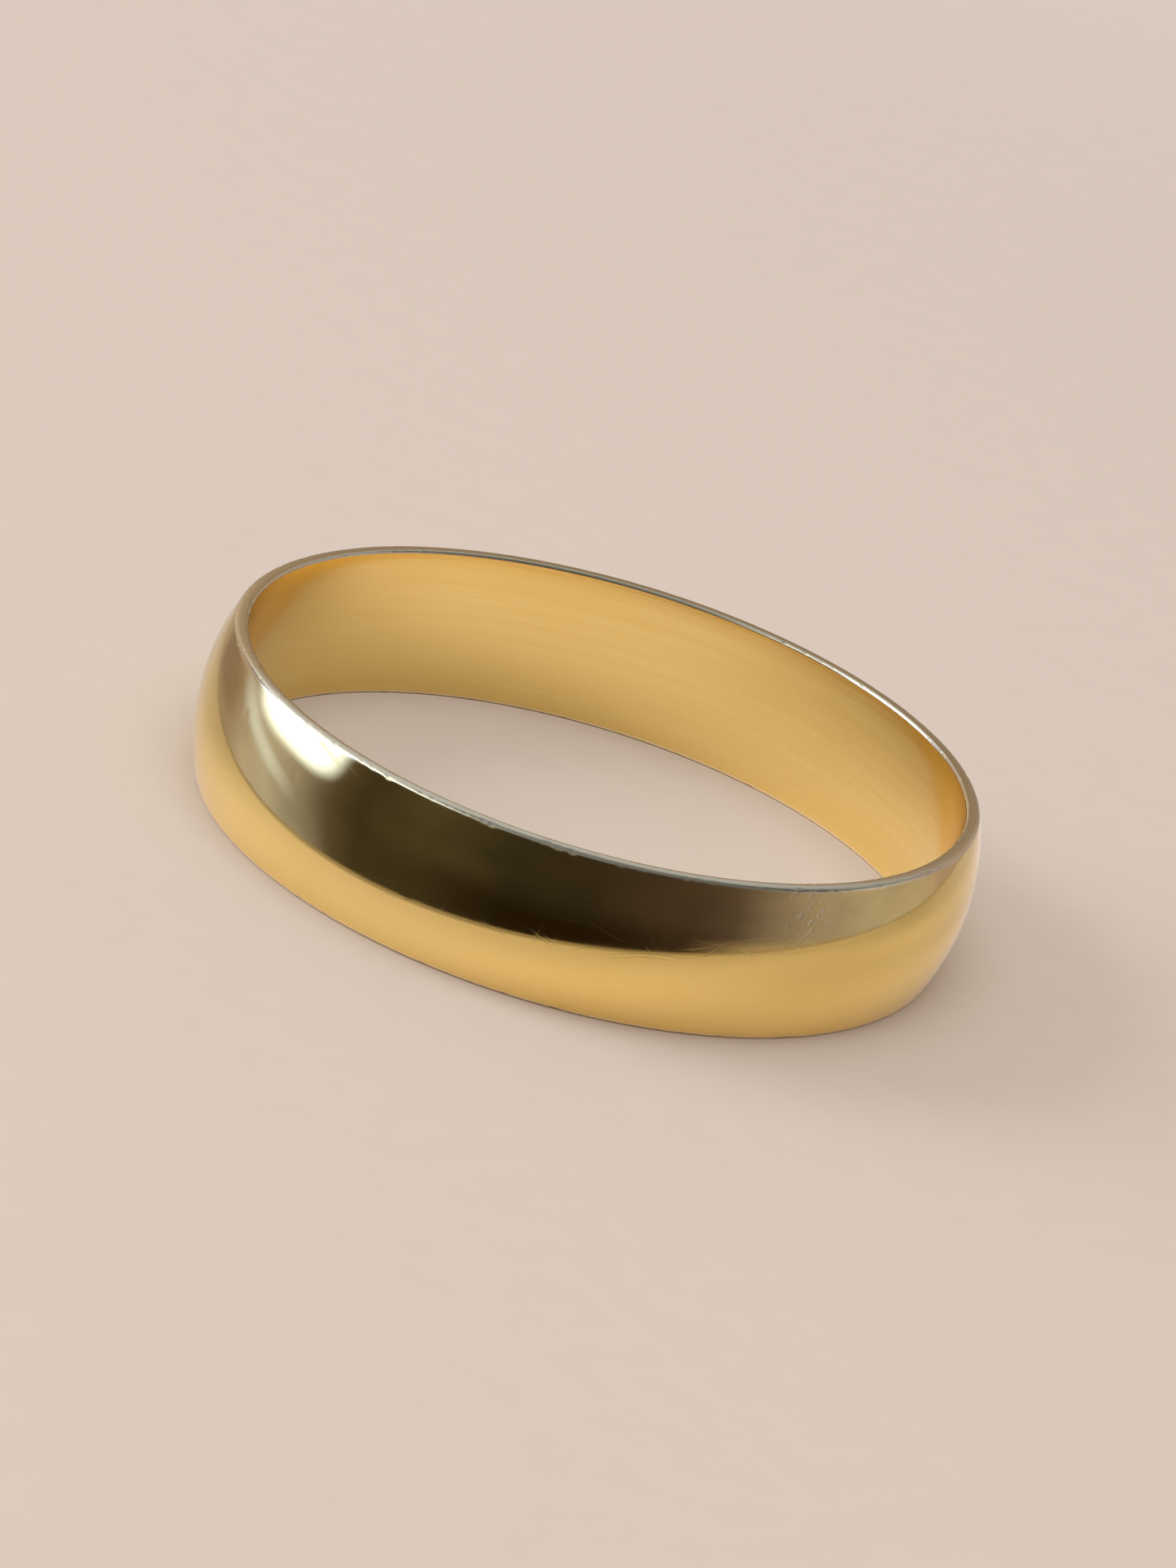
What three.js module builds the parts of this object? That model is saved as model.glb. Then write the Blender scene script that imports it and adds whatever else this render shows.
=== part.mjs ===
// A plain wedding band: one ring of solid yellow gold, flat inside and gently domed outside.
//
// The ring lies on its lower edge with the finger hole along +Z. The origin is on the hole's
// axis, in the plane that the edge rests on. Sizes are in millimetres.

import * as THREE from 'three';

// Driving sizes.
const INNER_CIRCUMFERENCE = 57; // once round the finger hole, which is the ring's size
const BAND_WIDTH = 4; // from one edge to the other, along the finger
const EDGE_THICKNESS = 0.33; // metal between the hole and the dome, at either edge
const CROWN_THICKNESS = 0.72; // metal between the hole and the dome, half way along the band
const INNER_EASING = 0.08; // radius of the rounded corner between the hole and each edge
const OUTER_EASING = 0.12; // radius of the rounded corner between the dome and each edge

// How finely the round shapes are cut.
const STEPS_ROUND_THE_FINGER = 96;
const DOME_STEPS = 12;
const EASING_STEPS = 3;

// Yellow gold, polished.
const GOLD_COLOUR = 0xf3d07c;
const GOLD_ROUGHNESS = 0.08;
const GOLD_METALNESS = 1;

// The largest share of the edge's thickness that one rounded corner may take, so that a flat
// land is always left between the two.
const LARGEST_EASING_SHARE = 0.4;

const holeRadius = INNER_CIRCUMFERENCE / (2 * Math.PI);
const halfWidth = BAND_WIDTH / 2;

// Limits a corner's radius by the thickness of the wall it is cut from.
function easedRadius(radius) {
  return Math.min(radius, LARGEST_EASING_SHARE * EDGE_THICKNESS);
}

// The dome is one arc through both edges and the crown. Returns its centre's distance from the
// finger's axis and its radius.
function domeArc() {
  const rise = CROWN_THICKNESS - EDGE_THICKNESS;
  const radius = (halfWidth ** 2 + rise ** 2) / (2 * rise);
  const centre = holeRadius + CROWN_THICKNESS - radius;
  return { centre, radius };
}

// Points along an arc in the band's section, both ends included. x is the distance from the
// finger's axis and y is the height above the band's middle.
function arcPoints(x, y, radius, startAngle, endAngle, steps) {
  const points = [];
  for (let step = 0; step <= steps; step += 1) {
    const angle = startAngle + ((endAngle - startAngle) * step) / steps;
    points.push(new THREE.Vector2(x + radius * Math.cos(angle), y + radius * Math.sin(angle)));
  }
  return points;
}

// The band's closed section: up the dome, over the upper edge, down the straight wall of the
// finger hole, and out along the lower edge.
function bandSection() {
  const dome = domeArc();
  const outer = easedRadius(OUTER_EASING);
  const inner = easedRadius(INNER_EASING);

  // The outer corner's circle touches the edge's plane and the inside of the dome's arc.
  const outerHeight = halfWidth - outer;
  const outerReach = Math.sqrt((dome.radius - outer) ** 2 - outerHeight ** 2);
  const outerCentre = dome.centre + outerReach;
  const domeEnd = Math.atan2(outerHeight, outerReach);

  const innerHeight = halfWidth - inner;
  const innerCentre = holeRadius + inner;
  const upwards = Math.PI / 2;

  const section = [
    ...arcPoints(dome.centre, 0, dome.radius, -domeEnd, domeEnd, DOME_STEPS),
    ...arcPoints(outerCentre, outerHeight, outer, domeEnd, upwards, EASING_STEPS).slice(1),
    ...arcPoints(innerCentre, innerHeight, inner, upwards, Math.PI, EASING_STEPS),
    ...arcPoints(innerCentre, -innerHeight, inner, -Math.PI, -upwards, EASING_STEPS),
    ...arcPoints(outerCentre, -outerHeight, outer, -upwards, -domeEnd, EASING_STEPS).slice(0, -1),
  ];
  section.push(section[0].clone());
  return section;
}

// Turns the section once round the finger's axis and stands that axis along +Z.
function makeBand() {
  const geometry = new THREE.LatheGeometry(bandSection(), STEPS_ROUND_THE_FINGER);
  geometry.rotateX(Math.PI / 2);
  const gold = new THREE.MeshStandardMaterial({
    color: GOLD_COLOUR,
    roughness: GOLD_ROUGHNESS,
    metalness: GOLD_METALNESS,
  });
  const band = new THREE.Mesh(geometry, gold);
  band.name = 'band';
  band.position.z = halfWidth;
  return band;
}

const weddingBand = new THREE.Group();
weddingBand.add(makeBand());

export default weddingBand;
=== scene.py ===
"""A plain wedding band of polished yellow gold, resting on its edge on a pale studio floor.

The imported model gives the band's place and its three outer sizes. The band is turned again from
the same section with a much finer surface, worn as a ring that is worn every day, and dressed in
polished gold. All lengths are in metres unless a name says otherwise.
"""

import logging
import math
from dataclasses import dataclass, field
from enum import Enum
from typing import Any

import bpy
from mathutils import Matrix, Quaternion, Vector


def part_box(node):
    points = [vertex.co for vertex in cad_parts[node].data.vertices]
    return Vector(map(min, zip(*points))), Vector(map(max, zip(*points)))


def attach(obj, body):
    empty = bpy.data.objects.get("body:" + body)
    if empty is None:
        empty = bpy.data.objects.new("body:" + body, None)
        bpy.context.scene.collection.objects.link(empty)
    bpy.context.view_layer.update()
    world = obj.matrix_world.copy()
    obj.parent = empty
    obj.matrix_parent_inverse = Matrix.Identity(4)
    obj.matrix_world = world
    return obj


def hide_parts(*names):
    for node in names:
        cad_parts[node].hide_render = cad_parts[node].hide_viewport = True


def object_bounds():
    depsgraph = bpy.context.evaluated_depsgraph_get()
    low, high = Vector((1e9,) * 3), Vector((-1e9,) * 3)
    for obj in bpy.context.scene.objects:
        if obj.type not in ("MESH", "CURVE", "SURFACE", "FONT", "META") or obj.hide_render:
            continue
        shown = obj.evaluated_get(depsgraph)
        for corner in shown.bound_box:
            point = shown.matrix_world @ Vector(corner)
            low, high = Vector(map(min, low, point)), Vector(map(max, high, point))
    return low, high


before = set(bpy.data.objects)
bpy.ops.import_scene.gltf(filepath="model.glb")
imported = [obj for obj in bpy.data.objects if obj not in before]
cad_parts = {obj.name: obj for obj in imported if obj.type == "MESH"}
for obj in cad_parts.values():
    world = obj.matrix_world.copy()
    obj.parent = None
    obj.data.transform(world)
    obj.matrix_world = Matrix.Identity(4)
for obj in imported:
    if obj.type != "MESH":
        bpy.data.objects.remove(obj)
CAD_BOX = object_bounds()

LOG = logging.getLogger("wedding_band")
MM = 0.001
BAND_NODE = "band"
ROOT_BODY = "root"


Colour = tuple[float, float, float]

# The room's walls as the gold mirrors them: the bearing in degrees, where 0 is towards the camera
# and 90 is to the right, and the colour there.
WALLS = (
    (-180.0, (0.27, 0.2, 0.14)),
    (-150.0, (0.52, 0.43, 0.36)),
    (-127.0, (0.37, 0.31, 0.33)),
    (-115.0, (0.42, 0.39, 0.5)),
    (-98.0, (0.45, 0.46, 0.66)),
    (-84.0, (0.29, 0.29, 0.42)),
    (-71.0, (0.1, 0.085, 0.08)),
    (-60.0, (0.05, 0.042, 0.032)),
    (-40.0, (0.07, 0.062, 0.049)),
    (-12.0, (0.037, 0.031, 0.026)),
    (10.0, (0.032, 0.026, 0.023)),
    (38.0, (0.062, 0.044, 0.048)),
    (51.0, (0.09, 0.07, 0.09)),
    (68.0, (0.25, 0.225, 0.29)),
    (98.0, (0.46, 0.44, 0.55)),
    (116.0, (0.44, 0.41, 0.46)),
    (128.0, (0.36, 0.3, 0.34)),
    (140.0, (0.42, 0.36, 0.37)),
    (180.0, (0.27, 0.2, 0.14)),
)

# The ceiling as the gold mirrors it, from left to right: the sideways part of the direction, and
# the colour there.
CEILING = (
    (-1.0, (1.5, 1.65, 2.1)),
    (-0.72, (1.35, 1.5, 1.9)),
    (-0.42, (0.66, 0.72, 0.9)),
    (-0.1, (0.46, 0.51, 0.64)),
    (0.5, (0.3, 0.32, 0.38)),
    (1.0, (0.3, 0.32, 0.38)),
)


class Wire:
    """One node's output, which takes part in arithmetic by adding Math nodes to its tree."""

    def __init__(self, graph: "Graph", socket: bpy.types.NodeSocket) -> None:
        """Wraps a socket of the graph's tree."""
        self.graph = graph
        self.socket = socket

    def __add__(self, other: "Value") -> "Wire":
        """This plus other."""
        return self.graph.maths("ADD", self, other)

    def __radd__(self, other: "Value") -> "Wire":
        """Other plus this."""
        return self.graph.maths("ADD", other, self)

    def __sub__(self, other: "Value") -> "Wire":
        """This minus other."""
        return self.graph.maths("SUBTRACT", self, other)

    def __rsub__(self, other: "Value") -> "Wire":
        """Other minus this."""
        return self.graph.maths("SUBTRACT", other, self)

    def __mul__(self, other: "Value") -> "Wire":
        """This times other."""
        return self.graph.maths("MULTIPLY", self, other)

    def __rmul__(self, other: "Value") -> "Wire":
        """Other times this."""
        return self.graph.maths("MULTIPLY", other, self)

    def __truediv__(self, other: "Value") -> "Wire":
        """This divided by other."""
        return self.graph.maths("DIVIDE", self, other)

    def __rtruediv__(self, other: "Value") -> "Wire":
        """Other divided by this."""
        return self.graph.maths("DIVIDE", other, self)

    def __neg__(self) -> "Wire":
        """This with its sign turned."""
        return self.graph.maths("MULTIPLY", self, -1.0)

    def __abs__(self) -> "Wire":
        """This without its sign."""
        return self.graph.maths("ABSOLUTE", self)

    def root(self) -> "Wire":
        """The square root of this."""
        return self.graph.maths("SQRT", self)

    def floor(self) -> "Wire":
        """The whole number at or below this."""
        return self.graph.maths("FLOOR", self)

    def fraction(self) -> "Wire":
        """What is left of this above its whole number."""
        return self.graph.maths("FRACT", self)

    def below(self, limit: "Value") -> "Wire":
        """1 where this is less than limit, and 0 elsewhere."""
        return self.graph.maths("LESS_THAN", self, limit)

    def ease(self, start: float, end: float) -> "Wire":
        """A smooth step.

        Args:
            start: Where the step gives 0.
            end: Where the step gives 1, which may lie below start.

        Returns:
            A value from 0 to 1.
        """
        low, high = min(start, end), max(start, end)
        rising = self.graph.node(
            "ShaderNodeMapRange",
            {"interpolation_type": "SMOOTHSTEP"},
            {"Value": self, "From Min": low, "From Max": high},
        )
        step = self.graph.out(rising, "Result")
        return step if start < end else 1.0 - step


Value = Wire | float


class Graph:
    """A node tree that is built by code, either a material's, a world's or a geometry tree."""

    def __init__(self, tree: bpy.types.NodeTree) -> None:
        """Starts on an empty tree."""
        self.tree = tree
        tree.nodes.clear()

    def node(
        self,
        kind: str,
        settings: dict[str, Any] | None = None,
        inputs: dict[str | int, Any] | None = None,
    ) -> bpy.types.Node:
        """Adds one node.

        Args:
            kind: The node's type name.
            settings: Its properties, set first. "stops" is a ramp's list of places and colours.
            inputs: Its sockets' values or wires, by name or number.

        Returns:
            The new node.
        """
        node = self.tree.nodes.new(kind)
        for name, value in (settings or {}).items():
            if name == "stops":
                self._set_stops(node, value)
            else:
                setattr(node, name, value)
        for key, value in (inputs or {}).items():
            if isinstance(value, Wire):
                self.tree.links.new(value.socket, node.inputs[key])
            else:
                node.inputs[key].default_value = value
        return node

    @staticmethod
    def _set_stops(node: bpy.types.Node, stops: list[tuple[float, tuple]]) -> None:
        """Gives a Color Ramp node its stops, from the lowest place to the highest."""
        elements = node.color_ramp.elements
        while len(elements) > 1:
            elements.remove(elements[-1])
        elements[0].position = stops[0][0]
        elements[0].color = (*stops[0][1], 1.0)
        for place, colour in stops[1:]:
            elements.new(place).color = (*colour, 1.0)

    def out(self, node: bpy.types.Node, output: str | int = 0) -> Wire:
        """One of a node's outputs, by name or number."""
        return Wire(self, node.outputs[output])

    def maths(self, operation: str, *values: Value) -> Wire:
        """Adds a Math node on one, two or three values."""
        inputs = dict(enumerate(values))
        return self.out(self.node("ShaderNodeMath", {"operation": operation}, inputs))

    def vectors(self, operation: str, *values: Any) -> Wire:
        """Adds a Vector Math node that gives a vector."""
        inputs = dict(enumerate(values))
        return self.out(self.node("ShaderNodeVectorMath", {"operation": operation}, inputs))

    def scaled(self, vector: Wire, factor: Value) -> Wire:
        """A vector times a number."""
        node = self.node(
            "ShaderNodeVectorMath", {"operation": "SCALE"}, {0: vector, "Scale": factor}
        )
        return self.out(node)

    def distance(self, start: Wire, end: tuple[float, float, float]) -> Wire:
        """How far a place is from a fixed point."""
        node = self.node("ShaderNodeVectorMath", {"operation": "DISTANCE"}, {0: start, 1: end})
        return self.out(node, "Value")

    def split(self, vector: Wire) -> tuple[Wire, Wire, Wire]:
        """A vector's three numbers."""
        node = self.node("ShaderNodeSeparateXYZ", inputs={0: vector})
        return self.out(node, 0), self.out(node, 1), self.out(node, 2)

    def joined(self, x: Value, y: Value, z: Value = 0.0) -> Wire:
        """A vector from three numbers."""
        return self.out(self.node("ShaderNodeCombineXYZ", inputs={0: x, 1: y, 2: z}))

    def noise(self, place: Wire, scale: float, detail: float = 2.0) -> Wire:
        """Smooth noise from 0 to 1, with about scale bumps to each unit of place."""
        inputs = {"Vector": place, "Scale": scale, "Detail": detail}
        return self.out(self.node("ShaderNodeTexNoise", inputs=inputs))

    def random(self, cell: Wire) -> tuple[Wire, Wire, Wire]:
        """Three random numbers from 0 to 1 for each different cell."""
        node = self.node("ShaderNodeTexWhiteNoise", {"noise_dimensions": "3D"}, {"Vector": cell})
        return self.split(self.out(node, "Color"))

    def blend(self, share: Value, first: Any, second: Any) -> Wire:
        """A colour that goes from first to second as share goes from 0 to 1."""
        node = self.node("ShaderNodeMix", {"data_type": "RGBA"}, {0: share, 6: first, 7: second})
        return self.out(node, 2)


class Edge(Enum):
    """The band's two edges, as the side of its middle that each is on."""

    UPPER = 1.0
    LOWER = -1.0


@dataclass
class BandSection:
    """The band's section across its width, in metres."""

    hole_radius: float
    width: float
    crown_thickness: float
    edge_thickness: float = 0.33 * MM
    inner_easing: float = 0.08 * MM
    outer_easing: float = 0.12 * MM

    @classmethod
    def from_frame(cls, node: str) -> "BandSection":
        """Takes the hole, the width and the crown from a packed ring whose hole is along Z.

        Args:
            node: The ring's name in the frame.

        Returns:
            The section, with its finer sizes as they stand in this class.
        """
        low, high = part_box(node)
        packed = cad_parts[node].data
        hole = min(vertex.co.xy.length for vertex in packed.vertices)
        crown = (high.x - low.x) / 2
        return cls(hole_radius=hole, width=high.z - low.z, crown_thickness=crown - hole)


@dataclass
class SectionCurves:
    """Draws the section's arcs and lines inside a geometry tree, from its named inputs."""

    graph: Graph
    curves: list[Wire] = field(default_factory=list)

    def arc(self, x: Value, y: Value, radius: Value, start: Value, sweep: Value, steps: int) -> None:
        """Adds an arc, counted the way that leaves the metal on its inner side.

        Args:
            x: Its centre's distance outwards from the finger hole's wall.
            y: Its centre's distance from the band's middle.
            radius: Its radius.
            start: The angle that it starts at, in radians.
            sweep: The angle that it covers, in radians.
            steps: How many straight pieces it is cut into.
        """
        inputs = {
            "Resolution": steps + 1,
            "Radius": radius,
            "Start Angle": start,
            "Sweep Angle": sweep,
        }
        arc = self.graph.node("GeometryNodeCurveArc", {"mode": "RADIUS"}, inputs)
        move = {"Geometry": self.graph.out(arc, "Curve"), "Translation": self.graph.joined(x, y)}
        self.curves.append(self.graph.out(self.graph.node("GeometryNodeTransform", inputs=move)))

    def line(self, start: Wire, end: Wire, steps: int) -> None:
        """Adds a straight line between two places, cut into steps pieces."""
        line = self.graph.node("GeometryNodeCurvePrimitiveLine", inputs={"Start": start, "End": end})
        cut = {"Curve": self.graph.out(line), "Count": steps + 1}
        self.curves.append(self.graph.out(self.graph.node("GeometryNodeResampleCurve", inputs=cut)))

    def joined(self) -> Wire:
        """All the arcs and lines together."""
        join = self.graph.node("GeometryNodeJoinGeometry")
        for curve in self.curves:
            self.graph.tree.links.new(curve.socket, join.inputs[0])
        return self.graph.out(join)


@dataclass
class WornBand:
    """The band itself: its section swept round the finger, with a few months' wear."""

    section: BandSection
    steps_round: int = 960
    dome_steps: int = 50
    easing_steps: int = 6
    land_steps: int = 2
    wall_steps: int = 8
    waviness: float = 0.0035 * MM
    dent_depth: float = 0.009 * MM
    nick_depth: float = 0.02 * MM
    seed: int = 7

    def build(self, gold: bpy.types.Material) -> bpy.types.Object:
        """Makes the band as a plain mesh object at the origin.

        Args:
            gold: The material for its whole surface.

        Returns:
            The new object.
        """
        tree = bpy.data.node_groups.new("turned_band", "GeometryNodeTree")
        values = self._declare(tree, gold)
        self._fill(Graph(tree))
        maker = bpy.data.objects.new("band_maker", bpy.data.meshes.new("band_maker"))
        bpy.context.scene.collection.objects.link(maker)
        modifier = maker.modifiers.new("turned_band", "NODES")
        modifier.node_group = tree
        for identifier, value in values.items():
            modifier[identifier] = value
        graph = bpy.context.evaluated_depsgraph_get()
        mesh = bpy.data.meshes.new_from_object(maker.evaluated_get(graph))
        bpy.data.objects.remove(maker)
        mesh.name = "polished_band"
        band = bpy.data.objects.new("polished_band", mesh)
        bpy.context.scene.collection.objects.link(band)
        return band

    def _declare(self, tree: bpy.types.NodeTree, gold: bpy.types.Material) -> dict[str, Any]:
        """Gives the tree its named inputs and its output.

        Args:
            tree: The geometry tree.
            gold: The material that it sets.

        Returns:
            Each input's value by the input's identifier.
        """
        sizes = {
            "Hole Radius": self.section.hole_radius,
            "Width": self.section.width,
            "Edge Thickness": self.section.edge_thickness,
            "Crown Thickness": self.section.crown_thickness,
            "Inner Easing": self.section.inner_easing,
            "Outer Easing": self.section.outer_easing,
            "Waviness": self.waviness,
            "Dent Depth": self.dent_depth,
            "Nick Depth": self.nick_depth,
            "Seed": float(self.seed),
        }
        new = tree.interface.new_socket
        values = {}
        for name, value in sizes.items():
            socket = new(name, in_out="INPUT", socket_type="NodeSocketFloat")
            values[socket.identifier] = value
        socket = new("Gold", in_out="INPUT", socket_type="NodeSocketMaterial")
        values[socket.identifier] = gold
        new("Band", in_out="OUTPUT", socket_type="NodeSocketGeometry")
        return values

    def _fill(self, graph: Graph) -> None:
        """Builds the tree: section, sweep, wear, finish."""
        entry = graph.node("NodeGroupInput")
        sizes = {socket.name: graph.out(entry, socket.name) for socket in entry.outputs if socket.name}
        section = self._draw_section(graph, sizes)
        path = graph.node(
            "GeometryNodeCurvePrimitiveCircle",
            inputs={"Resolution": self.steps_round, "Radius": sizes["Hole Radius"]},
        )
        sweep = {"Curve": graph.out(path), "Profile Curve": section}
        swept = graph.out(graph.node("GeometryNodeCurveToMesh", inputs=sweep))
        weld = {"Geometry": swept, "Distance": 0.0004 * MM}
        solid = graph.out(graph.node("GeometryNodeMergeByDistance", inputs=weld))
        smooth = graph.out(graph.node("GeometryNodeSetShadeSmooth", inputs={"Geometry": solid}))
        worn = {"Geometry": smooth, "Offset": self._wear(graph, sizes)}
        shaped = graph.out(graph.node("GeometryNodeSetPosition", inputs=worn))
        raised = {"Geometry": shaped, "Translation": graph.joined(0.0, 0.0, sizes["Width"] * 0.5)}
        placed = graph.out(graph.node("GeometryNodeTransform", inputs=raised))
        real = graph.out(graph.node("GeometryNodeRealizeInstances", inputs={"Geometry": placed}))
        dressed = {"Geometry": real, "Material": sizes["Gold"]}
        finished = graph.out(graph.node("GeometryNodeSetMaterial", inputs=dressed))
        graph.node("NodeGroupOutput", inputs={"Band": finished})

    def _draw_section(self, graph: Graph, sizes: dict[str, Wire]) -> Wire:
        """Draws the closed section, with x outwards from the finger hole's wall.

        The dome is one arc through both edges and the crown. Each outer corner's circle touches
        the edge's plane and the inside of that arc.

        Args:
            graph: The geometry tree.
            sizes: Its named inputs.

        Returns:
            The section's curves.
        """
        half_width = sizes["Width"] * 0.5
        outer, inner = sizes["Outer Easing"], sizes["Inner Easing"]
        rise = sizes["Crown Thickness"] - sizes["Edge Thickness"]
        dome_radius = (half_width * half_width + rise * rise) / (2.0 * rise)
        dome_centre = sizes["Crown Thickness"] - dome_radius
        outer_height = half_width - outer
        reach_square = (dome_radius - outer) * (dome_radius - outer) - outer_height * outer_height
        reach = reach_square.root()
        outer_centre = dome_centre + reach
        dome_end = graph.maths("ARCTAN2", outer_height, reach)
        inner_height = half_width - inner

        quarter, half = math.pi / 2, math.pi
        draw = SectionCurves(graph)
        draw.arc(dome_centre, 0.0, dome_radius, -dome_end, dome_end * 2.0, self.dome_steps)
        for edge in Edge:
            side = edge.value
            outer_start = dome_end if edge is Edge.UPPER else -quarter
            inner_start = quarter if edge is Edge.UPPER else -half
            corner = quarter - dome_end
            draw.arc(outer_centre, outer_height * side, outer, outer_start, corner, self.easing_steps)
            draw.arc(inner, inner_height * side, inner, inner_start, quarter, self.easing_steps)
            far = graph.joined(outer_centre, half_width * side)
            near = graph.joined(inner, half_width * side)
            start, end = (far, near) if edge is Edge.UPPER else (near, far)
            draw.line(start, end, self.land_steps)
        top = graph.joined(0.0, inner_height)
        bottom = graph.joined(0.0, -inner_height)
        draw.line(top, bottom, self.wall_steps)
        return draw.joined()

    def _wear(self, graph: Graph, sizes: dict[str, Wire]) -> Wire:
        """How far each point of the surface moves inwards: soft waves, small dents, edge nicks.

        Args:
            graph: The geometry tree.
            sizes: Its named inputs.

        Returns:
            The move as a vector field. The flat lands stay flat.
        """
        position = graph.out(graph.node("GeometryNodeInputPosition"))
        shift = graph.joined(sizes["Seed"], sizes["Seed"] * 1.7, sizes["Seed"] * 2.3)
        place = graph.vectors("ADD", graph.scaled(position, 1.0 / MM), shift)
        normal = graph.out(graph.node("GeometryNodeInputNormal"))
        upright = abs(graph.split(normal)[2])
        not_land = upright.ease(0.995, 0.93)

        waves = (graph.noise(place, 0.33, 1.0) - 0.5) * 2.0 * sizes["Waviness"]

        cells = graph.node("ShaderNodeTexVoronoi", {"feature": "F1"}, {"Vector": place, "Scale": 0.62})
        chance, size, depth = graph.split(graph.out(cells, "Color"))
        bowl = 1.0 - graph.out(cells, "Distance") / (0.1 + size * 0.22)
        bowl = graph.maths("MAXIMUM", bowl, 0.0)
        dents = bowl * bowl * (3.0 - 2.0 * bowl) * chance.below(0.55) * (0.3 + 0.7 * depth)

        corner = upright.ease(0.45, 0.62)
        nicks = graph.noise(place, 4.6, 3.0).ease(0.52, 0.74) * corner

        inwards = waves + dents * sizes["Dent Depth"] + nicks * sizes["Nick Depth"]
        move = graph.node(
            "ShaderNodeVectorMath",
            {"operation": "SCALE"},
            {0: normal, "Scale": -(inwards * not_land)},
        )
        return graph.out(move)


@dataclass(frozen=True)
class ScratchSet:
    """Hairline scratches that run one way: where they lie and how dense they are."""

    turn_deg: float
    length_mm: float
    spacing_mm: float
    share: float
    seed: float


@dataclass(frozen=True)
class PolishedGold:
    """Yellow gold: a mirror polish that daily wear has dulled with hairlines, softer in the hole."""

    hole_radius_mm: float
    middle_mm: float
    edge_radius_mm: float
    colour: Colour = (0.94, 0.72, 0.27)
    deep_colour: Colour = (0.9, 0.65, 0.21)
    # the pale colour of the painted highlight on the edges and of the painted glint on the scratches
    painted_highlight_colour: Colour = (0.97, 0.86, 0.6)
    # how far the painted highlight reaches in from each edge
    painted_edge_highlight_mm: float = 0.11
    polish: float = 0.055
    haze: float = 0.05
    hairline_dulling: float = 0.15
    hole_dulling: float = 0.15
    hairline_width: float = 0.13
    hairline_depth: float = 0.6
    bump_mm: float = 0.001
    land_slope: float = 120.0
    hairlines: tuple[ScratchSet, ...] = (
        ScratchSet(7.0, 3.4, 0.11, 0.16, 1.0),
        ScratchSet(-16.0, 2.6, 0.13, 0.13, 2.0),
        ScratchSet(34.0, 1.6, 0.15, 0.11, 3.0),
        ScratchSet(-52.0, 1.3, 0.16, 0.1, 4.0),
        ScratchSet(78.0, 1.0, 0.2, 0.08, 5.0),
    )
    scuff_turn_deg: float = 38.0
    scuff_height_mm: float = 1.4
    scuff_radius_mm: float = 1.0
    scuffs: ScratchSet = ScratchSet(43.0, 0.38, 0.17, 0.75, 6.0)
    scuff_depth: float = 7.0

    def make(self) -> bpy.types.Material:
        """Builds the material.

        Returns:
            A material that reads only the piece's own Object coordinates.
        """
        material = bpy.data.materials.new("polished_yellow_gold")
        material.use_nodes = True
        graph = Graph(material.node_tree)
        place = graph.out(graph.node("ShaderNodeTexCoord"), "Object")
        place = graph.scaled(place, 1.0 / MM)
        x, y, z = graph.split(place)
        radius = (x * x + y * y).root()
        in_hole = radius.ease(self.hole_radius_mm + 0.09, self.hole_radius_mm + 0.02)

        hairlines = self._all_hairlines(graph, place, x, y, z)
        haze = graph.noise(place, 0.55, 3.0).ease(0.42, 0.72)
        grain = graph.noise(place, 9.0, 2.0)
        lines = self._turned_lines(graph, x, y, z)

        outside = 1.0 - in_hole
        dulling = haze * self.haze + hairlines * self.hairline_dulling + grain * 0.02
        roughness = self.polish + dulling * outside + in_hole * self.hole_dulling * (0.6 + 0.6 * lines)

        mottle = graph.noise(place, 0.21, 2.0).ease(0.35, 0.75) * 0.35 + grain.ease(0.3, 0.7) * 0.22
        tone = mottle + in_hole * (1.7 * lines - 0.45)
        gold = graph.blend(tone, (*self.colour, 1.0), (*self.deep_colour, 1.0))
        scuffs = self._scuffs(graph, place, x, y, z)
        # The scratches and scuffs are real wear; their paler colour is a painted glint.
        worn_scratches_painted_glint = (hairlines * 0.2 + scuffs * 0.9) * outside
        # Painted highlight on the edges and painted glint on the scratches, blended towards a pale
        # colour.
        bright = graph.maths("MAXIMUM", self._painted_edge_highlight(z), worn_scratches_painted_glint)
        colour = graph.blend(bright, gold, (*self.painted_highlight_colour, 1.0))

        grooves = hairlines * self.hairline_depth + scuffs * self.scuff_depth
        land = graph.maths("MAXIMUM", radius, self.hole_radius_mm + 0.08)
        land = graph.maths("MINIMUM", land, self.edge_radius_mm - 0.05)
        relief = lines * in_hole * 4.0 - grooves * outside + grain * 0.03 - land * self.land_slope
        bump = graph.node(
            "ShaderNodeBump",
            inputs={"Strength": 1.0, "Distance": self.bump_mm * MM, "Height": relief},
        )
        shader = graph.node(
            "ShaderNodeBsdfPrincipled",
            inputs={
                "Base Color": colour,
                "Metallic": 1.0,
                "Roughness": roughness,
                "Normal": graph.out(bump),
            },
        )
        graph.node("ShaderNodeOutputMaterial", inputs={"Surface": graph.out(shader)})
        return material

    def _painted_edge_highlight(self, z: Wire) -> Wire:
        """Where the lands and their rounded corners get a painted highlight in a paler colour, from 0
        to 1.
        """
        height = abs(z - self.middle_mm)
        top = height.ease(self.middle_mm - self.painted_edge_highlight_mm, self.middle_mm - 0.4 * self.painted_edge_highlight_mm)
        return top * 0.8

    @property
    def mean_radius_mm(self) -> float:
        """The radius half way through the metal."""
        return self.hole_radius_mm + 0.5

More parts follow.
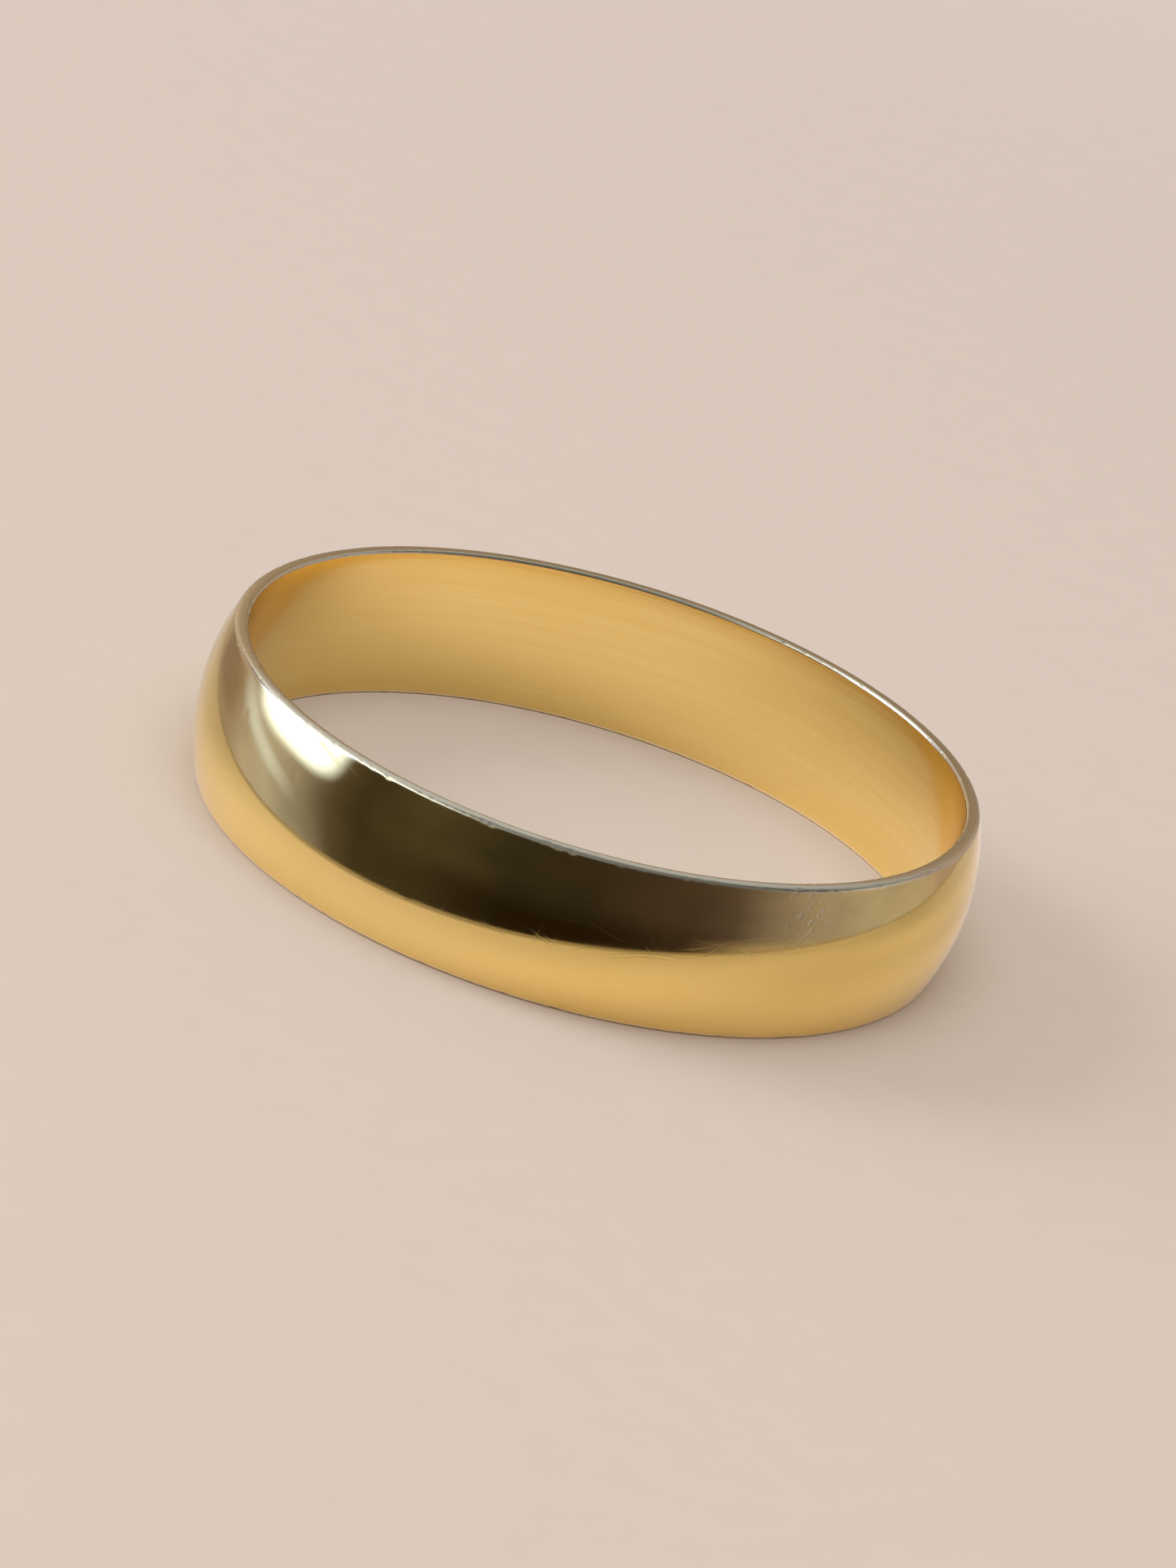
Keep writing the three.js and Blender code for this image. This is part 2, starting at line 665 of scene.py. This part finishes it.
    def _in_scuffed_patch(self, graph: Graph, place: Wire) -> Wire:
        """1 in the middle of the scuffed patch, and 0 outside it."""
        angle = math.radians(self.scuff_turn_deg)
        centre = (
            self.mean_radius_mm * math.sin(angle),
            -self.mean_radius_mm * math.cos(angle),
            self.middle_mm + self.scuff_height_mm,
        )
        return graph.distance(place, centre).ease(self.scuff_radius_mm, 0.25)

    def _scuffs(self, graph: Graph, place: Wire, x: Wire, y: Wire, z: Wire) -> Wire:
        """The short, deeper strokes in the scuffed patch, from 0 to 1."""
        around = graph.maths("ARCTAN2", x, -y) * self.mean_radius_mm
        broken = graph.noise(place, 5.0, 2.0)
        patch = self._in_scuffed_patch(graph, place) * broken.ease(0.4, 0.58)
        bent = z + (broken - 0.5) * 0.08
        return self._hairlines(graph, around, bent, self.scuffs, patch, 0.45)

    def _all_hairlines(self, graph: Graph, place: Wire, x: Wire, y: Wire, z: Wire) -> Wire:
        """Every set of scratches together, with the scuffed patch where they lie thickest."""
        around = graph.maths("ARCTAN2", x, -y) * self.mean_radius_mm
        bend = (graph.noise(place, 0.4, 1.0) - 0.5) * 0.9
        scuffed = self._in_scuffed_patch(graph, place)
        worn = graph.noise(place, 0.3, 1.0).ease(0.35, 0.65) * 0.8 + 0.2 + scuffed
        total: Value = 0.0
        for lines in self.hairlines:
            one = self._hairlines(graph, around, z + bend, lines, worn, self.hairline_width)
            total = one + total
        return graph.maths("MINIMUM", total, 1.0)

    @staticmethod
    def _hairlines(
        graph: Graph, around: Wire, along: Wire, lines: ScratchSet, worn: Wire, half_width: float
    ) -> Wire:
        """One set of scratches, as strips that are cut into lengths and mostly left out.

        Args:
            graph: The material's tree.
            around: The distance round the finger, in millimetres.
            along: The distance along the finger, in millimetres.
            lines: The set.
            worn: How deep the set is at a place, about 1 where the gold is most worn.
            half_width: Half of a scratch's width, as a share of the spacing.

        Returns:
            The scratches' depth, from 0 to 1.
        """
        turn = math.radians(lines.turn_deg)
        lengthwise = around * math.cos(turn) + along * math.sin(turn)
        crosswise = along * math.cos(turn) - around * math.sin(turn)
        strip = crosswise / lines.spacing_mm
        row = strip.floor()
        offset = graph.random(graph.joined(row, lines.seed))[0]
        run = lengthwise / lines.length_mm + offset * 9.0
        chance, depth, shift = graph.random(graph.joined(row, run.floor(), lines.seed))
        here = chance.below(lines.share)
        off_line = abs(strip.fraction() - (0.25 + shift * 0.5))
        groove = off_line.ease(half_width, 0.0)
        end_to_end = run.fraction()
        fade = end_to_end.ease(0.0, 0.3) * end_to_end.ease(1.0, 0.7)
        return groove * fade * here * (0.25 + 0.75 * depth) * worn

    @staticmethod
    def _turned_lines(graph: Graph, x: Wire, y: Wire, z: Wire) -> Wire:
        """Fine lines round the finger hole that the maker's tool left, from 0 to 1."""
        coarse = graph.noise(graph.joined(x * 0.12, y * 0.12, z * 5.0), 1.0, 2.0)
        fine = graph.noise(graph.joined(x * 0.3, y * 0.3, z * 17.0), 1.0, 1.0)
        return coarse * 0.6 + fine * 0.4


@dataclass(frozen=True)
class PaleSurface:
    """The floor's plain, pale and slightly warm surface, which fades into the background.

    The gold mirrors a round part of it in a painted reflection colour, brighter on the window's side
    as painted light, with painted shade towards a dark rim.
    """

    colour: Colour = (0.8, 0.69, 0.61)
    background: Colour = (0.79, 0.67, 0.585)
    fade_start: float = 0.05
    fade_end: float = 0.17
    rim_centre: tuple[float, float, float] = (0.0077, 0.0096, 0.0)
    rim_radius: float = 0.02435
    # the dark colour of the painted shade towards the rim and of the painted line along it
    painted_rim_shade_colour: Colour = (0.22, 0.18, 0.13)
    # colours of the painted reflection, with painted light on the window's side to the left
    painted_reflection_far_left: Colour = (0.68, 0.6, 0.54)
    painted_reflection_lit_left: Colour = (0.98, 0.885, 0.9)
    painted_reflection_right: Colour = (0.86, 0.74, 0.65)
    straight_edge: float = 0.027

    def make(self) -> bpy.types.Material:
        """Builds the material.

        Returns:
            A matt material near the band that turns into the even background further out.
        """
        material = bpy.data.materials.new("pale_floor")
        material.use_nodes = True
        graph = Graph(material.node_tree)
        place = graph.out(graph.node("ShaderNodeTexCoord"), "Object")
        mottle = graph.noise(graph.scaled(place, 1.0 / MM), 0.8, 4.0)
        low = tuple(0.985 * part for part in self.colour)
        seen = graph.blend(mottle.ease(0.3, 0.7), (*low, 1.0), (*self.colour, 1.0))
        # Glossy rays see the painted reflection colour below in place of the floor's own colour.
        in_gold = graph.out(graph.node("ShaderNodeLightPath"), "Is Glossy Ray")
        colour = graph.blend(in_gold, seen, self._painted_reflection(graph, place))
        surface = graph.node(
            "ShaderNodeBsdfPrincipled", inputs={"Base Color": colour, "Roughness": 0.85}
        )
        far = graph.node("ShaderNodeEmission", inputs={"Color": (*self.background, 1.0)})
        share = graph.distance(place, (0.0, 0.0, 0.0)).ease(self.fade_start, self.fade_end)
        mixed = graph.node(
            "ShaderNodeMixShader", inputs={0: share, 1: graph.out(surface), 2: graph.out(far)}
        )
        graph.node("ShaderNodeOutputMaterial", inputs={"Surface": graph.out(mixed)})
        return material

    def _painted_reflection(self, graph: Graph, place: Wire) -> Wire:
        """The painted reflection colour that the gold mirrors, with painted shade dimmer towards the
        rim and a dark line along it.

        The top has painted light, paler to the left and next to the band, and painted shade further
        out, beside the band to the right and before a straight edge to the right, with a dark line
        along that edge.
        """
        x, y, _ = graph.split(place)
        diagonal = x - y
        # Painted light and shade from left to right: palest on the window's side, darker at the far
        # left and towards the right.
        left = graph.blend(
            diagonal.ease(-14.0 * MM, -2.0 * MM),
            (*self.painted_reflection_far_left, 1.0),
            (*self.painted_reflection_lit_left, 1.0),
        )
        even = graph.blend(diagonal.ease(-2.0 * MM, 18.0 * MM), left, (*self.painted_reflection_right, 1.0))
        from_band = graph.distance(place, (0.0, 0.0, 0.0))
        # Painted light next to the band, lifting its contact shadow in the gold, and painted shade
        # further out.
        near = from_band.ease(13.5 * MM, 10.0 * MM) * from_band.ease(8.0 * MM, 9.5 * MM) * 0.12
        far = from_band.ease(15.0 * MM, 24.0 * MM) * 0.22
        # Painted shade before a straight edge to the right and beside the band, with a painted dark
        # line along the edge.
        past_edge = diagonal.ease(self.straight_edge - 0.4 * MM, self.straight_edge + 0.4 * MM)
        painted_dark_edge_line = abs(diagonal - (self.straight_edge + 0.2 * MM)).ease(0.9 * MM, 0.1 * MM)
        painted_shade_before_edge = diagonal.ease(15.0 * MM, 23.0 * MM) * (1.0 - past_edge)
        painted_shade_beside_band = x.ease(11.0 * MM, 15.0 * MM) * y.ease(-3.0 * MM, 6.0 * MM)
        level = (1.0 + near - far) * (1.0 - painted_shade_before_edge * 0.12 - painted_shade_beside_band * 0.1 - painted_dark_edge_line * 0.14)
        shaded = graph.scaled(even, level)
        # Painted shade, darker towards the rim.
        from_centre = graph.distance(place, self.rim_centre)
        dimmed = from_centre.ease(self.rim_radius - 4.0 * MM, self.rim_radius) * 0.3
        shaded = graph.blend(dimmed, shaded, (*self.painted_rim_shade_colour, 1.0))
        # A painted dark line just inside the rim.
        line_x, line_y, _ = self.rim_centre
        line_radius = self.rim_radius - 0.55 * MM
        from_line = graph.distance(place, (line_x - 0.35 * MM, line_y, 0.0))
        line = from_line.ease(line_radius - 0.12 * MM, line_radius + 0.12 * MM) * 0.75
        return graph.blend(line, shaded, (*self.painted_rim_shade_colour, 1.0))


@dataclass(frozen=True)
class Patch:
    """A soft-edged part of the room that the gold mirrors, placed by its bearing and elevation."""

    bearing: float
    elevation: float
    half_width: float
    half_height: float
    softness: float
    colour: Colour
    slope: float = 0.0

    def cover(self, graph: Graph, bearing: Wire, elevation: Wire) -> Wire:
        """How much of the patch lies in a direction.

        Args:
            graph: The world's tree.
            bearing: The direction's bearing in degrees.
            elevation: Its elevation in degrees.

        Returns:
            From 0 outside the patch to 1 well inside it, which is an oblong with round corners.
        """
        aside = bearing - self.bearing
        across = aside / self.half_width
        upwards = (elevation - self.elevation - aside * self.slope) / self.half_height
        across_square = across * across
        upwards_square = upwards * upwards
        reach = (across_square * across_square + upwards_square * upwards_square).root().root()
        return reach.ease(1.0 + self.softness, 1.0 - self.softness)


ROOM_PATCHES = (
    # a bright window to the left
    Patch(-93.5, 14.0, 20.5, 15.5, 0.22, (1.9, 2.5, 5.0)),
    # the thin bar across it
    Patch(-83.0, 9.0, 9.0, 0.6, 0.6, (0.62, 0.78, 1.3), slope=-0.17),
    # the light that it throws on its sill
    Patch(-105.0, -8.2, 13.0, 2.6, 0.8, (0.7, 0.84, 1.5), slope=-0.375),
    # a darker corner beyond it
    Patch(-137.0, -9.0, 14.0, 5.0, 0.5, (0.27, 0.21, 0.21)),
    # the dark foot of the wall in front
    Patch(2.0, -21.0, 36.0, 12.0, 0.8, (0.016, 0.01, 0.006)),
    # the pale end of the table to the right
    Patch(84.0, -16.5, 30.0, 6.0, 0.6, (0.5, 0.41, 0.35)),
)


@dataclass
class Studio:
    """The floor, the lights and the room that the gold mirrors."""

    floor_reach: float = 1.2
    rim_steps: int = 96
    surface: PaleSurface = field(default_factory=PaleSurface)

    def build(self) -> None:
        """Makes the floor, the lights and the world."""
        self._floor()
        self._lights()
        self._room()

    def _floor(self) -> None:
        """Lays one even floor in two parts: a round one, and all that lies outside it.

        The gold mirrors only the round part, as it would mirror a small table, and past its rim
        it mirrors the darker room. The two look alike to the camera.
        """
        material = self.surface.make()
        centre = Vector(self.surface.rim_centre)
        spokes = []
        for step in range(self.rim_steps):
            angle = 2 * math.pi * step / self.rim_steps
            spokes.append(Vector((math.cos(angle), math.sin(angle), 0.0)))
        rim = [centre + self.surface.rim_radius * spoke for spoke in spokes]
        outer = [self.floor_reach * spoke for spoke in spokes]
        count = self.rim_steps
        ring = [(i, count + i, count + (i + 1) % count, (i + 1) % count) for i in range(count)]
        self._lay("floor_near", rim, [tuple(range(count))], material, mirrored=True)
        self._lay("floor_far", rim + outer, ring, material, mirrored=False)

    @staticmethod
    def _lay(
        name: str,
        places: list[Vector],
        faces: list[tuple[int, ...]],
        material: bpy.types.Material,
        mirrored: bool,
    ) -> None:
        """Adds one part of the floor.

        Args:
            name: Its name.
            places: Its corners.
            faces: The corners of each of its faces.
            material: Its material.
            mirrored: Whether the gold mirrors it.
        """
        mesh = bpy.data.meshes.new(name)
        mesh.from_pydata([tuple(place) for place in places], [], faces)
        mesh.materials.append(material)
        part = bpy.data.objects.new(name, mesh)
        part.visible_glossy = mirrored
        bpy.context.scene.collection.objects.link(part)

    def _lights(self) -> None:
        """Hangs a large soft light overhead and stands a window to the left."""
        self._area("overhead", (0.0, -0.12, 0.55), (0.55, 0.55), 1.45, (1.0, 0.96, 0.91))
        self._area("window", (-0.36, 0.02, 0.18), (0.22, 0.22), 0.62, (0.97, 0.98, 1.0))

    @staticmethod
    def _area(
        name: str,
        place: tuple[float, float, float],
        size: tuple[float, float],
        power: float,
        colour: tuple[float, float, float],
    ) -> None:
        """Adds a rectangular light that faces the band.

        Args:
            name: Its name.
            place: Its centre.
            size: Its width and height.
            power: Its power in watts.
            colour: Its colour.
        """
        light = bpy.data.lights.new(name, "AREA")
        light.shape = "RECTANGLE"
        light.size, light.size_y = size
        light.energy = power
        light.color = colour
        lamp = bpy.data.objects.new(name, light)
        lamp.location = place
        lamp.rotation_euler = Vector(place).to_track_quat("Z", "Y").to_euler()
        lamp.visible_glossy = False
        bpy.context.scene.collection.objects.link(lamp)

    def _room(self) -> None:
        """Fills the world: even behind the floor for the camera, a dim room for the gold."""
        world = bpy.data.worlds.new("room")
        bpy.context.scene.world = world
        world.use_nodes = True
        graph = Graph(world.node_tree)
        direction = graph.out(graph.node("ShaderNodeTexCoord"), "Generated")
        room = self._mirrored_room(graph, direction)
        rays = graph.node("ShaderNodeLightPath")
        fill = graph.node("ShaderNodeBackground", inputs={"Color": (0.41, 0.385, 0.36, 1.0)})
        mirrored = graph.node("ShaderNodeBackground", inputs={"Color": room})
        plain = graph.node(
            "ShaderNodeBackground", inputs={"Color": (*self.surface.background, 1.0)}
        )
        glossy = graph.node(
            "ShaderNodeMixShader",
            inputs={
                0: graph.out(rays, "Is Glossy Ray"),
                1: graph.out(fill),
                2: graph.out(mirrored),
            },
        )
        seen = graph.node(
            "ShaderNodeMixShader",
            inputs={0: graph.out(rays, "Is Camera Ray"), 1: graph.out(glossy), 2: graph.out(plain)},
        )
        graph.node("ShaderNodeOutputWorld", inputs={"Surface": graph.out(seen)})

    @staticmethod
    def _mirrored_room(graph: Graph, direction: Wire) -> Wire:
        """The room's colour in a direction: uneven walls, the window and its like, the ceiling."""
        x, y, z = graph.split(direction)
        bearing = graph.maths("ARCTAN2", x, -y) * math.degrees(1.0)
        elevation = graph.maths("ARCSINE", z) * math.degrees(1.0)
        stops = [(degrees / 360.0 + 0.5, tint) for degrees, tint in WALLS]
        turned = bearing / 360.0 + 0.5
        walls = graph.out(graph.node("ShaderNodeValToRGB", {"stops": stops}, {0: turned}))
        unevenness = graph.noise(direction, 2.6, 3.0) * 0.9 + 0.55
        colour = graph.scaled(walls, unevenness)
        for patch in ROOM_PATCHES:
            cover = patch.cover(graph, bearing, elevation)
            colour = graph.blend(cover, colour, (*patch.colour, 1.0))
        stops = [(sideways / 2.0 + 0.5, tint) for sideways, tint in CEILING]
        ceiling = graph.out(graph.node("ShaderNodeValToRGB", {"stops": stops}, {0: x / 2.0 + 0.5}))
        in_front = x.ease(-0.6, -0.25) * y.ease(0.6, 0.05)
        ceiling = graph.scaled(ceiling, unevenness * (1.0 - in_front * 0.6))
        return graph.blend(z.ease(0.4, 0.62), colour, ceiling)


@dataclass
class Viewpoint:
    """The camera: a little above the band, leaning so that the band dips to the right."""

    aim: Vector
    subject_width: float
    elevation_deg: float = 21.4
    lean_deg: float = 16.7
    distance: float = 0.183
    share_of_width: float = 0.68
    picture_size: tuple[int, int] = (1445, 1927)

    def build(self) -> None:
        """Makes the camera and gives it to the scene."""
        camera = bpy.data.cameras.new("camera")
        width, height = self.picture_size
        half_width = self.subject_width / self.share_of_width / 2
        half_long_side = half_width * max(width, height) / width
        camera.lens = camera.sensor_width / 2 * self.distance / half_long_side
        camera.clip_start = 0.001
        camera.clip_end = 10.0
        seat = bpy.data.objects.new("camera", camera)
        elevation = math.radians(self.elevation_deg)
        back = Vector((0.0, -math.cos(elevation), math.sin(elevation)))
        seat.location = self.aim + back * self.distance
        look = (-back).to_track_quat("-Z", "Y")
        seat.rotation_mode = "QUATERNION"
        seat.rotation_quaternion = look @ Quaternion((0.0, 0.0, 1.0), math.radians(self.lean_deg))
        bpy.context.scene.collection.objects.link(seat)
        bpy.context.scene.camera = seat


def main() -> None:
    logging.basicConfig(level=logging.INFO, format="%(name)s: %(message)s")
    low, high = CAD_BOX
    Viewpoint(aim=(low + high) / 2, subject_width=high.x - low.x).build()
    Studio().build()
    bpy.context.scene.view_settings.view_transform = "Standard"
    LOG.info("studio ready")

    section = BandSection.from_frame(BAND_NODE)
    finish = PolishedGold(
        hole_radius_mm=section.hole_radius / MM,
        middle_mm=section.width / MM / 2,
        edge_radius_mm=(section.hole_radius + section.edge_thickness) / MM,
    )
    band = WornBand(section).build(finish.make())
    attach(band, ROOT_BODY)
    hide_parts(BAND_NODE)
    LOG.info("%s: %d faces", band.name, len(band.data.polygons))


if __name__ == "__main__":
    main()
